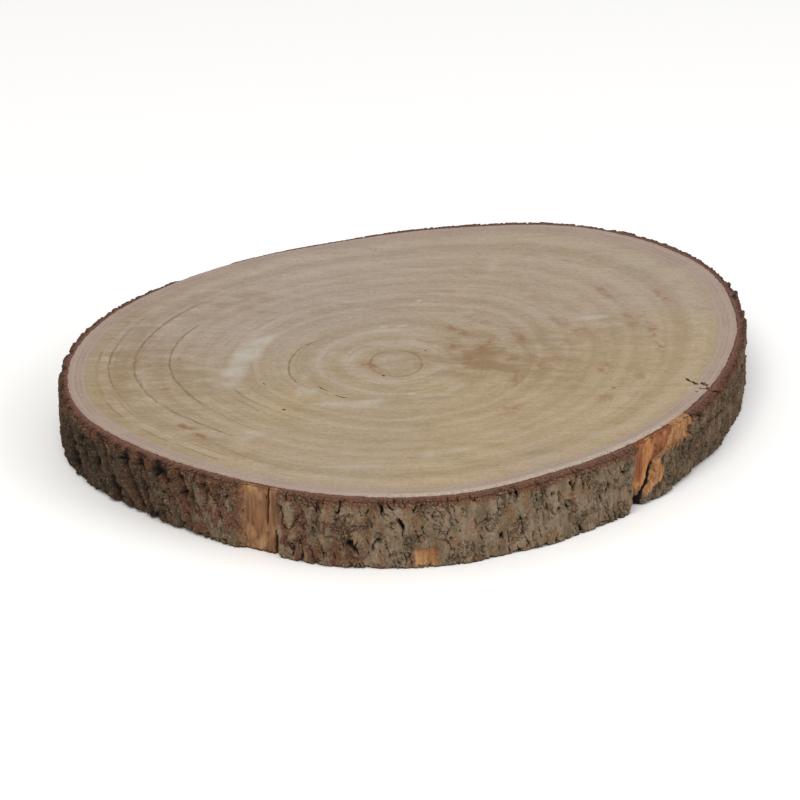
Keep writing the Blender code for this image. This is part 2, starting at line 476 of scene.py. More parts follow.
def growth_ring(radius, degrees):
    """Distance out in rings: round near the pith, and following the trunk's outline further out."""
    shape = around(WOOD_RADII, degrees) / MEAN_RADIUS
    ring = radius / shape
    for _ in range(6):
        ring = radius / (1 + (shape - 1) * np.clip(ring / MEAN_RADIUS, 0, 1.2) ** 0.8)
    return ring


# -------- the sawn wood

COLUMNS = 720
TOP_RINGS = 84
UNDER_RINGS = 20
SIDE_ROWS = 14
ARC_SHIFTS = (-6, -4, -2, 0, 2, 4, 6)
# Strokes on the face: middle from the pith, half length, half width, turn and strength.
RUBS = [
    (-80, 28, 15, 6.5, 55, 0.75), (-88, 8, 19, 7.5, 66, 0.95), (-93, -14, 17, 7.5, 82, 0.95),
    (-97, -30, 11, 8, 90, 0.6), (-104, -8, 26, 15, 80, 0.35), (-35, -57, 14, 3.6, 4, 0.60),
    (-14, -54, 13, 3.6, 12, 0.65), (-22, -60, 20, 5, 5, 0.40), (9.5, -43.3, 3.6, 1.7, 0, 1),
    (22, -45, 13, 3.4, 6, 0.55), (34, -36, 11, 3.4, 48, 0.45), (171, -38, 6, 3.5, -50, 0.8),
    (176.4, -33.4, 1.5, 0.9, 0, 1), (-52, -20, 7, 3, 80, 0.5), (-48, -41, 8, 4.5, 70, 0.45),
    (-8, 52, 5, 1.8, 0, 0.6), (3, 53, 5, 1.6, 0, 0.75), (16, 49, 8, 3.5, 0, 0.35),
    (-6, 46, 18, 4, 0, 0.3), (42, 72, 6, 4, 0, 0.4),
    (117, 65, 14, 3.5, 12, 0.6), (92, 28, 7, 3.5, 0, 0.5), (60, 143, 14, 4, 80, 0.4),
    (115, 155, 5, 2, 30, 0.5), (32, -118, 20, 3, 24, 0.45), (18, -122, 6, 5, 0, 0.5),
    (-80, -98, 12, 6, 35, 0.5), (-54, -40, 10, 4, 80, 0.5), (-25, -137, 24, 2.5, 2, 0.4),
    (-40, 140, 30, 9, 20, 0.25), (14, 90, 1.8, 1.4, 0, 1), (35, 55, 16, 2.5, 130, 0.4),
    (-140, -30, 10, 8, 100, 0.3), (60, -95, 22, 5, 8, 0.3), (110, -95, 16, 5, 30, 0.3),
]
STAINS = [
    (-117, -87, 7, 2.8, -42, 1), (-107, -99, 8, 2.8, -38, 1), (17, 30, 6, 2.5, 150, 0.7),
    (-112, -88, 5, 1.6, -30, 0.8), (-130, -36, 5, 2, 40, 0.6), (178.5, -40.5, 8, 4.5, -52, 1),
    (-17, -6, 7, 2.6, 176, 1), (-126, 3, 2, 5, 0, 0.6), (50, 20, 7, 3.5, 100, 0.8),
    (36, 46, 11, 4.5, 125, 0.9), (72, 36, 17, 3.5, 105, 0.9), (26, 6, 5, 3, 100, 0.6),
    (43, 0, 10, 4.5, 95, 0.9), (70, -20, 14, 5, 80, 0.6), (64, -65, 16, 6, 60, 0.5),
    (154, 35, 26, 4, 95, 0.8), (162, 98, 12, 3.5, 110, 0.7), (127, 104, 12, 5, 120, 0.6),
    (120, -8, 14, 6, 90, 0.6), (108, 48, 12, 6, 100, 0.6), (-166, 14, 9, 4, 100, 0.5),
    (30, 105, 24, 3, 175, 0.4), (118, -50, 12, 6, 60, 0.5), (14, 12, 7, 3, 140, 0.6),
    (-16, -4, 5, 2.6, 172, 1), (95, 5, 12, 5, 85, 0.5), (140, -20, 10, 5, 80, 0.5),
    (88, 92, 14, 5, 130, 0.4), (56, -30, 9, 4, 60, 0.5), (58, 30, 14, 5, 110, 0.7),
    (48, 62, 12, 4, 140, 0.6), (34, 22, 7, 3.5, 120, 0.7), (84, -4, 10, 5, 95, 0.5),
    (66, 6, 9, 5, 100, 0.7), (98, 60, 12, 6, 120, 0.5), (140, 60, 16, 5, 105, 0.5),
]
# Large soft patches where the face is a little darker.
SHADES = [
    (-150, 5, 32, 85, 0, 0.62), (-118, -20, 34, 55, 0, 0.55), (48, 8, 34, 34, 0, 1),
    (88, 6, 26, 52, 0, 0.62), (132, 30, 36, 56, 0, 0.42), (-110, 84, 48, 36, 20, 0.40),
    (-4, -2, 44, 34, 0, 0.42), (-108, -96, 60, 26, -35, 0.35), (70, -110, 60, 30, 20, 0.30),
    (70, 110, 90, 36, 0, 0.14),
]
# Darker rings: direction and distance from the pith along each one, half width and strength.
ARCS = [
    ([(0, 14.6), (30, 15.2), (57, 16.4), (90, 17), (118, 16.2), (150, 15.4), (180, 14.6), (215, 16.8),
      (248, 18.8), (272, 19.6), (297, 19.2), (330, 16.2), (360, 14.6)], 1.2, 0.75),
    ([(135, 52), (159, 59.4), (182, 61.8), (194, 63.7), (207, 63), (222, 60)], 1.1, 0.85),
    ([(145, 70), (180, 74), (215, 73)], 1, 0.40),
    ([(148, 127), (163, 130.8), (172, 132), (180, 131.4), (189, 129.7), (198, 126.1), (214, 120)],
     1.3, 0.90),
    ([(138, 144), (148, 146.9), (162, 149.5), (177, 151.3), (182, 152.5), (195, 148.6), (202, 145.3),
      (211, 140.2), (221, 134.7), (233, 132)], 1.4, 0.95),
    ([(148, 163), (164, 164.5), (179, 166.5), (192, 165), (204, 160)], 1.2, 0.75),
    ([(222, 145), (233, 148.1), (241, 149.6), (254, 151)], 1.6, 0.60),
    ([(196, 104), (222, 101), (250, 104)], 1.2, 0.40),
    ([(20, 95), (60, 104), (100, 96)], 1.2, 0.30),
    ([(300, 108), (330, 106), (356, 112)], 1.2, 0.30),
    ([(330, 52), (360, 50), (392, 52)], 1.4, 0.45),
    ([(322, 74), (356, 78), (392, 80)], 1.4, 0.40),
]
# Cuts into the face that follow these points, with their widths and depths: the drying check near
# the rim with the crumbs beside it, short checks along the rings, and a few pin holes.
CHECKS = [
    ([(166.2, -22.2), (167.4, -25.2), (169, -27.2)], 2.2, 2.6),
    ([(169.4, -26.8), (171, -29.6), (172.6, -30.8)], 3, 3.4),
    ([(174.6, -27.8), (176, -31), (177.6, -33.4)], 3, 4),
    ([(177.2, -34.2), (178.8, -37.6), (180.8, -39.8)], 3.8, 5),
    ([(180.4, -38.6), (182.2, -40.6), (185, -41.6)], 2.4, 5),
    ([(172.4, -35.4), (174.4, -36.8), (177, -36.4)], 1.3, 5),
    ([(177, -30.6), (180, -32), (183.4, -31.4)], 1, 4),
    ([(170, -40.4), (171.6, -41.2)], 1.5, 3),
    ([(-44.4, -33.2), (-42, -36.6), (-38.6, -39)], 0.9, 2.5),
    ([(-34, -45.6), (-30.4, -48.4), (-25.6, -49.6)], 1, 2.5),
    ([(-76, -28.6), (-74.6, -31.2)], 0.9, 2),
    ([(-64, -65), (-61.6, -65.2)], 2.4, 3),
    ([(122.8, -35.8), (125.2, -35.4)], 2, 2.5),
    ([(-8, -18), (-6.2, -19.4)], 1.5, 2.5),
    ([(16.2, 16.4), (18, 17.4)], 1.4, 2.5),
]
# The crumb broken off the lower edge beside the wider bare strip: direction, half width, height
# and depth.
CHIP_MIDDLE, CHIP_HALF, CHIP_HEIGHT, CHIP_DEPTH = 320.4, 3.4, 8.0, 9.0


def brush(x, y, marks):
    """Soft oval strokes laid over each other."""
    total = np.zeros(len(x))
    for middle_x, middle_y, half_long, half_wide, turn, strength in marks:
        angle = math.radians(turn)
        along = (x - middle_x) * math.cos(angle) + (y - middle_y) * math.sin(angle)
        across = (y - middle_y) * math.cos(angle) - (x - middle_x) * math.sin(angle)
        reach = (along / half_long) ** 2 + (across / half_wide) ** 2
        total = np.maximum(total, strength * np.exp(-reach ** 1.5))
    return total


def chip(degrees, height):
    """How deep the broken crumb goes in."""
    across = ramp(np.abs(degrees % 360 - CHIP_MIDDLE), CHIP_HALF, 1.0)
    return CHIP_DEPTH * across * ramp(height, CHIP_HEIGHT, 0.0)


def make_check_cutter(path, width, depth, seed):
    """A thin ragged wedge along a path over the face."""
    deselect()
    bpy.ops.mesh.primitive_cube_add(size=2.0)
    cutter = bpy.context.object
    subdivide(cutter, 0, 1.9, 28)
    subdivide(cutter, 2, 1.9, 4)
    bpy.ops.object.mode_set(mode="OBJECT")
    raw = read_points(cutter)
    along = (raw[:, 0] + 1) / 2
    path = np.array(path)
    legs = np.concatenate([[0.0], np.cumsum(np.hypot(*np.diff(path, axis=0).T))])
    place = along * legs[-1]
    x, y = (np.interp(place, legs, side) for side in path.T)
    ahead_x, ahead_y = (
        np.interp(place + 0.5, legs, side) - np.interp(place - 0.5, legs, side) for side in path.T
    )
    size = np.hypot(ahead_x, ahead_y) + 1e-9
    level = (raw[:, 2] + 1) / 2
    taper = np.sqrt(np.clip(1 - np.abs(2 * along - 1) ** 3, 0, 1)) * 0.95 + 0.05
    ragged = 1 + 0.55 * layers(place / 1.3, raw[:, 1] * 9.3 + level, seed, 2)
    offset = raw[:, 1] * width / 2 * taper * ragged * (0.25 + 0.75 * level)
    offset = offset + 0.25 * layers(place / 1.7, level * 2.0, seed + 7, 2)
    points = np.stack([
        x - ahead_y / size * offset,
        y + ahead_x / size * offset,
        THICK + 1.0 - (depth + 1.0) * (1 - level),
    ], axis=1)
    write_points(cutter, points)
    turn_outward()
    return cutter


def cut_checks(piece):
    for number, (path, width, depth) in enumerate(CHECKS):
        cutter = make_check_cutter(path, width, depth, SEED + 40 + 10 * number)
        deselect()
        bpy.context.view_layer.objects.active = piece
        piece.select_set(True)
        cut = piece.modifiers.new("check", "BOOLEAN")
        cut.operation = "DIFFERENCE"
        cut.solver = "EXACT"
        cut.object = cutter
        bpy.ops.object.modifier_apply(modifier=cut.name)
        bpy.data.objects.remove(cutter)


def make_sawn_wood(material):
    """A drum whose two faces are inset ring by ring, then drawn out to the trunk's outline."""
    deselect()
    bpy.ops.mesh.primitive_cylinder_add(
        vertices=COLUMNS, radius=MEAN_RADIUS, depth=THICK, end_fill_type="NGON", location=(0, 0, 0),
    )
    piece = bpy.context.object
    piece.name = "sawn_wood"
    for rings, side in ((TOP_RINGS, 1), (UNDER_RINGS, -1)):
        choose(piece, "FACE", lambda face: face.calc_center_median().z * side > THICK * 0.49)
        for _ in range(rings):
            bpy.ops.mesh.inset(thickness=MEAN_RADIUS / (rings + 1), depth=0.0)
        bpy.ops.mesh.poke()
    subdivide(piece, 2, THICK - 1, SIDE_ROWS)
    bpy.ops.object.mode_set(mode="OBJECT")

    raw = read_points(piece)
    outward = np.clip(np.hypot(raw[:, 0], raw[:, 1]) / MEAN_RADIUS, 0.0, 1.0)
    degrees = np.degrees(np.arctan2(raw[:, 1], raw[:, 0])) % 360
    level = raw[:, 2] / THICK + 0.5
    # The loops crowd together near the rim, and so do the rows near the two edges.
    share = 1 - (1 - outward) ** 1.25
    height = THICK * (level - 0.13 * np.sin(2 * np.pi * level))
    run = trunk_length(degrees)
    rim = ramp(outward, 0.994, 1.0)
    radius = wood_edge(degrees, height) + 0.35 * layers(run / 5, height / 30, SEED + 1) * rim
    radius = radius - chip(degrees, height) * rim
    # The saw leaves both edges very slightly broken.
    broken = 0.32 + 0.22 * layers(run / 3, run * 0, SEED + 5, 2)
    near_face = ramp(height, THICK - 0.8, THICK) + ramp(height, 0.8, 0.0)
    reach = radius * share - broken * near_face * rim
    x = reach * np.cos(np.radians(degrees))
    y = reach * np.sin(np.radians(degrees))
    dip = 0.10 * layers(x / 45, y / 45, SEED + 9, 2)
    on_top = level > 0.999
    under = level < 0.001
    height = np.where(on_top, THICK - 0.05 + np.minimum(dip, 0.05) - 0.10 * rim, height)
    height = np.where(under, np.maximum(0.0, 0.08 + dip), height)
    write_points(piece, np.stack([x, y, height], axis=1))
    cut_checks(piece)

    x, y, height = read_points(piece).T
    radius = np.hypot(x, y)
    degrees = np.degrees(np.arctan2(y, x)) % 360
    inside = wood_edge(degrees, height) - radius
    below = THICK - height
    ring = growth_ring(radius, degrees)
    arc_place = np.full(len(x), 9.0)
    arc = np.zeros(len(x))
    nearest = np.full(len(x), 99.0)
    for places, half_width, strength in ARCS:
        turns, outs = zip(*places)
        past = turns[-1] > 360 and turns[0] > 0
        facing = np.where(degrees < turns[0] - 180, degrees + 360, degrees) if past else degrees
        out = sum(np.interp(facing + shift, turns, outs) for shift in ARC_SHIFTS) / len(ARC_SHIFTS)
        away = np.abs(radius - out)
        fade = 1.0
        if turns[-1] - turns[0] < 360:
            fade = ramp(facing, turns[0], turns[0] + 12) * ramp(facing, turns[-1], turns[-1] - 12)
        nearer = away < nearest
        nearest = np.where(nearer, away, nearest)
        arc_place = np.where(nearer, (radius - out) / half_width, arc_place)
        arc = np.where(nearer, strength * fade * ramp(away, 6.0, 3.5), arc)
    side = ramp(below, 0.5, 1.4) * ramp(inside - chip(degrees, height), 2.5, 1.5)
    leftward = ramp(x, 30, -20)
    lilac = 0.9 * hill(ring, 28, 4.5) + 0.8 * hill(ring, 45, 4.0) * leftward + 0.8 * ramp(ring, 13, 9)
    olive = hill(ring, 36, 4.0) * leftward + 0.8 * hill(ring, 58, 7.0)
    olive = olive + hill(ring, 172, 6.0) * ramp(x, -60, -150)
    paint(
        piece,
        ring=ring, arc_place=arc_place, arc=arc,
        smear=brush(x, y, RUBS), stain=brush(x, y, STAINS), shade=brush(x, y, SHADES) * (below < 2),
        grey=ramp(y - 0.15 * x, -50, 90) * (0.55 + 0.45 * ramp(x, 60, -80)),
        lilac=lilac, olive=olive,
        lined=0.2 + 0.6 * np.maximum(ramp(x, 10, -110) * ramp(y, 110, 20), 0.6 * ramp(ring, 100, 20)),
        fuzz=ramp(inside, 5.5, 1.5) * ramp(np.abs(degrees - 298), 46, 24),
        side=side,
    )

    point, face, first = corners(piece)
    facing = read(piece.data.polygons, "normal", size=3)[:, 2][face]
    upward = (facing > 0.5) & (below[point] < 1.5)
    downward = (facing < -0.5) & (height[point] < 1.5)
    wall = ~upward & ~downward
    # Every wall that stands inside the wood belongs to a check or a pin hole.
    nearest_edge = np.minimum.reduceat(inside[point], first)[face]
    check_wall_shade = wall & (height[point] > THICK - 10.5) & (nearest_edge > 0.9)
    # These walls are painted near black as shade.
    layer = piece.data.attributes.new("check", "FLOAT", "CORNER")
    layer.data.foreach_set("value", check_wall_shade.astype(np.float32))
    flat = np.zeros((len(point), 2))
    flat[:, 0] = np.where(upward, 0.395 + x[point] / 640, 0.845 + x[point] / 1700)
    flat[:, 1] = np.where(upward, 0.375 + y[point] / 640, 0.790 + y[point] / 1700)
    turn = degrees[point] / 360
    starts = np.minimum.reduceat(turn, first)[face]
    ends = np.maximum.reduceat(turn, first)[face]
    turn = np.where((ends - starts > 0.5) & (turn < 0.5), turn + 1, turn)
    flat[:, 0] = np.where(wall, 0.002 + 0.994 * turn, flat[:, 0])
    flat[:, 1] = np.where(wall, 0.952 + 0.042 * height[point] / THICK, flat[:, 1])
    lay_out(piece, flat)
    return set_down(piece, material, x, y, height, math.radians(40))


# -------- the bark

# Directions where the stretches of bark end: beside the gap at the back and the two bare strips,
# and where the right and back stretches meet.
BACK_GAP = (125.0, 137.0)
FRONT_STRIP = (243.2, 248.8)
RIGHT_STRIP = 319.4
MEETING = 420.0
# How bold the furrows are, how dark the cork is and how red it is, every 20 degrees.
BOLDNESS = [0.35, 0.7, 0.6, 0.4, 0.2, 0.1, 0.3, 0.6, 0.7, 0.9, 1.0, 1.0, 0.2, 0.1, 0.0, 0.0, 0.1, 0.2]
DARKNESS = [0.4, 0.5, 0.5, 0.5, 0.6, 0.6, 0.7, 0.8, 1.0, 1.0, 1.0, 0.9, 0.25, 0.1, 0.0, 0.0, 0.15, 0.5]
REDNESS = [0.6, 0.6, 0.4, 0.2, 0.2, 0.2, 0.2, 0.3, 0.4, 0.5, 0.4, 0.7, 1.7, 0.8, 0.1, 0.1, 0.1, 0.35]
FACE_POINTS = 12
ARC_POINTS = 4
WALL_POINTS = 76
INNER_POINTS = 4
SECTION = 2 * FACE_POINTS + 2 * ARC_POINTS + WALL_POINTS + INNER_POINTS
EDGE_RADIUS = 1.5


def section():
    """The bark's outline across, from its inner bottom corner round by the skin: share of the
    bark's width, height, and how far the two rounded outer edges are tucked in."""
    rows = [(step / FACE_POINTS, 0.0, 0.0) for step in range(FACE_POINTS)]
    for step in range(ARC_POINTS):
        angle = math.pi / 2 * step / ARC_POINTS
        rows.append((1.0, EDGE_RADIUS * (1 - math.cos(angle)), EDGE_RADIUS * (1 - math.sin(angle))))
    for step in range(WALL_POINTS):
        rows.append((1.0, EDGE_RADIUS + (THICK - 2 * EDGE_RADIUS) * step / (WALL_POINTS - 1), 0.0))
    for step in range(ARC_POINTS):
        angle = math.pi / 2 * (step + 1) / ARC_POINTS
        rise = EDGE_RADIUS * (1 - math.sin(angle))
        rows.append((1.0, THICK - rise, EDGE_RADIUS * (1 - math.cos(angle))))
    rows += [(1 - (step + 1) / FACE_POINTS, THICK, 0.0) for step in range(FACE_POINTS)]
    rows += [(0.0, THICK * (1 - (step + 1) / (INNER_POINTS + 1)), 0.0) for step in range(INNER_POINTS)]
    return np.array(rows).T


def bark_relief(degrees, height):
    """The bark's surface: how far it stands out or in, and what the material needs to know."""
    run = trunk_length(degrees)

    def lumps(long, tall, seed, count=3):
        return layers(run / long, height / tall, SEED + seed, count)

    bold = np.clip(around(BOLDNESS, degrees), 0, 1)
    warp_x = run + 0.22 * height + 2.0 * lumps(12, 17, 11)
    warp_x = warp_x + 0.6 * grain(run / 2.2, height / 3.0, SEED + 13)
    warp_y = height + 4.0 * lumps(13, 16, 17, 2)

    # Flat plates, a few of them parted by open seams.
    crack, number = plates(warp_x / 11.0, warp_y / 24.0, SEED + 21)
    opened = ramp(lumps(15, 17, 25, 2), 0.0, 0.45)
    seam = ramp(crack, 0.10, 0.01) * opened

    # Upright slits, long ones and short ones, thick and thin along their length.
    thickness = 0.5 + 0.8 * ramp(grain(run / 5, height / 5, SEED + 39), -0.4, 0.5)
    long_line = np.abs(grain(warp_x / 7.5, warp_y / 60, SEED + 41)) / thickness
    long_slit = ramp(long_line, 0.062, 0.012) * ramp(lumps(11, 13, 43, 2), 0.02, 0.30)
    short_line = np.abs(grain(warp_x / 4.4, warp_y / 36, SEED + 44)) / thickness
    short_slit = ramp(short_line, 0.075, 0.015) * ramp(lumps(8, 9, 45, 2), 0.14, 0.40)
    slit = np.maximum(long_slit, 0.8 * short_slit)

    # Where the trunk is old and coarse the furrows are wide, with ridges of cork between them.
    furrowing = layers(warp_x / 6.0, warp_y / 30, SEED + 31, 4)
    valley = ramp(furrowing, 0.0, -0.34) * bold
    valley = valley * (1 - 0.5 * ramp(height, THICK - 7.0, THICK - 1.5))
    ridge = ramp(furrowing, 0.0, 0.60) * bold

    scaly = np.clip(ramp(lumps(12, 15, 47, 2), 0.08, 0.36) + 0.5 * bold, 0, 1)
    flake_crack, flake = plates(warp_x / 3.2, warp_y / 4.6, SEED + 51)
    flake_gap = ramp(flake_crack, 0.18, 0.02)
    chip_crack, small_chip = plates(run / 1.7, height / 2.3, SEED + 57)
    crumb = lumps(2.4, 3.2, 61)
    rough = lumps(1.1, 1.9, 65, 2)
    swell = lumps(38, 60, 71, 2)

    out = 0.9 * swell + 1.1 * (number - 0.5) - 1.2 * seam - 3.4 * slit - 4.2 * valley + 1.0 * ridge
    out = out + (flake - 0.5) * (0.40 + 0.75 * scaly) - flake_gap * (0.10 + 0.65 * scaly) - 0.5 * scaly
    out = out + (small_chip - 0.5) * (0.18 + 0.35 * scaly) + 0.34 * crumb + 0.14 * rough

    margin = ramp(height, THICK - 5.0 - 3.5 * layers(run / 5, run * 0, SEED + 81, 3), THICK - 1.5)
    warm = 0.75 * ramp(lumps(6, 11, 85), 0.10, 0.55)
    worn_rims = hill(crack, 0.13, 0.09) * ramp(grain(run / 6, height / 7, SEED + 87), -0.3, 0.3)
    warm = np.maximum(warm, 0.65 * worn_rims)
    warm = np.clip(warm * (1 - 0.75 * bold) + margin * 0.5, 0, 1)
    red = around(REDNESS, degrees) * ramp(lumps(7, 14, 91), -0.35, 0.25)
    pit = ramp(crumb, -0.42, -0.85)
    return {
        "out": out,
        # Where the bark is painted near black: its own dark furrows, and painted shade down in slits,
        # seams, gaps and pits.
        "furrow": np.clip(slit + 0.45 * seam + 0.95 * valley + 0.30 * flake_gap * scaly + 0.35 * pit, 0, 1),
        "scaly": scaly,
        "warm": warm,
        "soot": np.clip(around(DARKNESS, degrees), 0, 1) * (1 - 0.45 * margin),
        "red": np.clip(np.clip(red, 0, 1) + 0.85 * margin, 0, 1),
        "torn": np.zeros(np.shape(out)),
    }


def make_stretch(name, material, columns, start, end, kept, relief, shoulders):
    """A stretch of bark or inner bark along the trunk. start and end give the direction of each
    end at a height, kept the share of the bark's width that is left, and shoulders how many
    millimetres each end takes to rise to its full width."""
    deselect()
    bpy.ops.mesh.primitive_cylinder_add(vertices=SECTION, radius=1.0, depth=2.0, end_fill_type="NGON")
    piece = bpy.context.object
    piece.name = name
    for cuts in columns:
        subdivide(piece, 2, 1e-4, cuts - 1)
    bpy.ops.object.mode_set(mode="OBJECT")

    raw = read_points(piece)
    along = (raw[:, 2] + 1) / 2
    place = np.round(np.arctan2(raw[:, 1], raw[:, 0]) / (2 * np.pi) * SECTION).astype(int) % SECTION
    across, height, tuck = (values[place] for values in section())
    degrees = start(height) + along * (end(height) - start(height))
    run = trunk_length(degrees)
    length = run - trunk_length(start(height))
    left = trunk_length(end(height)) - run

    found = relief(degrees, height)
    width = around(BARK_WIDTHS, degrees)
    scale = np.clip(width / 6.0, 0.10, 1.35)
    share = kept(degrees, height)
    sunk = found.pop("sunk", 0.0)
    wood = wood_edge(degrees, height) - sunk
    ragged = 1 + 0.35 * layers(height / 5, run / 9, SEED + 95, 2)
    rise = np.ones(len(along))
    for distance, (reach, low) in ((length, shoulders[0]), (left, shoulders[1])):
        if reach is not None:
            over = reach(height) * ragged
            rise = rise * (low + (1 - low) * ramp(distance, -0.05, over) ** 0.5)
    skin = np.maximum(width * share + found["out"] * scale, 0.35) * rise - 0.5 * (1 - rise)
    inner = wood - 0.7
    outer = wood + skin

    # Crumbs are missing along both edges, and the cut through the bark falls away outwards.
    lift = 1.3 * ramp(layers(run / 4.5, run * 0, SEED + 97, 2), 0.1, 0.6)
    drop = 0.9 * ramp(layers(run / 4.0, run * 0, SEED + 98, 2), 0.2, 0.7)
    slump = 0.9 + 0.45 * layers(run / 2.6, across * width / 2.6, SEED + 99, 2)
    low_end = (lift + 0.35 * np.abs(around(UNDERCUTS, degrees))) * across ** 2 + 0.02 + 0.35 * sunk
    calm = 1 - 0.75 * ramp(np.abs((degrees + 100) % 360 - 180), 105, 75)
    fall = (slump + drop) * (0.15 + 0.85 * across ** 1.7) * np.clip(scale, 0.4, 1)
    high_end = THICK - calm * (0.40 + fall)
    high_end = high_end + 0.18 * layers(run / 1.3, across * width / 1.3, SEED + 101, 2)
    level = height / THICK
    height = low_end + (high_end - low_end) * level
    radius = inner + (outer - inner) * across - tuck * np.clip(skin / 2.5, 0.1, 1)

    on_cut = np.where(level > 0.5, ramp(level, 0.965, 1.0), ramp(level, 0.02, 0.0))
    outer_part = 0.62 - 0.27 * ramp(np.abs(degrees % 360 - 285), 62, 38)
    crumbled = across + 0.25 * layers(run / 2.0, across * 2, SEED + 103, 2)
    worn_off = ramp(crumbled, outer_part, outer_part + 0.38)
    found["edge"] = np.clip(on_cut * (1 - 0.75 * worn_off), 0, 1)
    found["edge"] = found["edge"] * (1 - 0.85 * found.get("torn", 0.0))
    found["cut"] = across
    found.pop("out")
    paint(piece, **found)

    point, face, first = corners(piece)
    v = place[point] / SECTION
    spread = np.maximum.reduceat(v, first) - np.minimum.reduceat(v, first)
    v = np.where((spread[face] > 0.5) & (v < 0.5), v + 1.0, v)
    lay_out(piece, np.stack([along[point], v], axis=1))
    x = radius * np.cos(np.radians(degrees))
    y = radius * np.sin(np.radians(degrees))
    return set_down(piece, material, x, y, height, None)


def steady(value):
    return lambda height: np.full(np.shape(height), float(value))


def ragged_end(middle, lean, seed, wave=0.35):
    """A broken end: the direction changes a little with the height."""
    return lambda height: (
        middle + lean * (height - THICK / 2) + wave * layers(height / 6, height * 0, seed, 3)
    )


def right_edge(height):
    """The torn edge beside the wider bare strip. It leans in under the strip, with a step in it."""
    level = [0, 5, 8.5, 12, 17, 21, 24, 26.2, 27.4, 33, 40]
    place = [322, 322, 322.6, 323.8, 324.6, 324.8, 325.3, 326.3, 329.8, 330.4, 331.5]
    return np.interp(height, level, place) + 0.16 * layers(height / 4, height * 0, SEED + 111, 3)


def whole(degrees, height):
    return np.ones(np.shape(degrees))


def upper_patch(turn, height, wave):
    """Where the outer bark is torn off above the step: 1 inside the patch."""
    far = 335.6 + 0.17 * (height - 30)
    patch = ramp(turn + 0.12 * wave, far + 0.5, far - 0.4) * ramp(height + 0.7 * wave, 26.0, 27.6)
    return patch * (turn > 300)


def lower_patch(turn, height, wave):
    """The leaf-shaped patch along the torn edge below the step."""
    reach = np.interp(height, [4, 7, 11, 16, 20, 23, 26], [0, 6, 10, 12, 9.5, 4, 1.5])
    beyond = trunk_length(turn) - trunk_length(right_edge(height))
    return ramp(beyond + 0.9 * wave, reach + 0.8, reach - 0.8) * ramp(height, 27.0, 25.5) * (turn > 300)


def right_kept(degrees, height):
    """The torn patches lie a little deeper than the bark round them."""
    turn = degrees % 360
    return 1 - 0.52 * upper_patch(turn, height, 0.0) - 0.12 * lower_patch(turn, height, 0.0)


def lay_bare(found, bare):
    """Takes the furrows with their painted shade, the scales and the darker cork off where
    the outer bark is gone.
    """
    for name in ("furrow", "scaly", "soot"):
        found[name] = found[name] * (1 - bare)


def left_relief(degrees, height):
    """Towards the front strip the cork wears off, down to red and then tan inner bark."""
    found = bark_relief(degrees, height)
    wave = layers(trunk_length(degrees) / 2.5, height / 9, SEED + 115, 3)
    bare = ramp(degrees + 0.7 * wave, 238.8, 242.6)
    found["out"] = found["out"] * (1 - 0.7 * bare)
    lay_bare(found, 0.8 * bare)
    found["red"] = np.maximum(found["red"], 0.9 * bare * ramp(wave, -0.5, 0.3))
    found["torn"] = 0.5 * ramp(degrees + 0.7 * wave, 241.0, 243.4)
    return found


def right_relief(degrees, height):
    """Torn fibres in the two patches, painted shadow along their stepped edges, and painted shadow
    in the cleft along the torn edge below the step.
    """
    found = bark_relief(degrees, height)
    turn = degrees % 360
    run = trunk_length(degrees)
    wave = layers(run / 2.2, height / 7, SEED + 121)
    bare = np.clip(upper_patch(turn, height, wave) + lower_patch(turn, height, wave), 0, 1)
    fibres = 0.38 * layers(run / 1.0, height / 22, SEED + 125, 3)
    found["out"] = found["out"] * (1 - 0.85 * bare) + bare * fibres
    lay_bare(found, bare)
    # Painted shadow: a near black line where the patches step down, and in the cleft below the step.
    rim = ramp(bare, 0.05, 0.4) * ramp(bare, 0.95, 0.6)
    beyond = run - trunk_length(right_edge(height))
    shadow = np.interp(height, [13.0, 21.0], [1.6, 0.35])
    rim = 0.7 * rim * ramp(wave, -0.3, 0.3)
    cleft_shadow = ramp(beyond, shadow + 0.7, shadow) * ramp(height, 25.5, 23.5) * (turn > 300)
    found["furrow"] = np.maximum(found["furrow"], np.maximum(rim, cleft_shadow))
    found["torn"] = bare
    return found


def front_kept(degrees, height):
    """One small flake is missing low on the front, down to the fresh bark."""
    patch = ramp(degrees, 272.9, 273.5) * ramp(degrees, 277.6, 277.0)
    patch = patch * ramp(height, 0.8, 2.0) * ramp(height, 12.8, 11.4)
    return 1 - 0.30 * patch


def front_relief(degrees, height):
    """The fresh bark shows where the flake is missing."""
    found = bark_relief(degrees, height)
    run = trunk_length(degrees)
    wave = layers(run / 2.0, height / 2.5, SEED + 131)
    patch = ramp(degrees + 0.35 * wave, 273.0, 273.5) * ramp(degrees + 0.35 * wave, 277.6, 277.1)
    patch = patch * ramp(height + 0.8 * wave, 0.8, 2.0) * ramp(height + 1.5 * wave, 12.6, 11.2)
    found["out"] = found["out"] * (1 - 0.8 * patch) + 0.25 * patch * wave
    lay_bare(found, patch)
    found["torn"] = patch
    return found


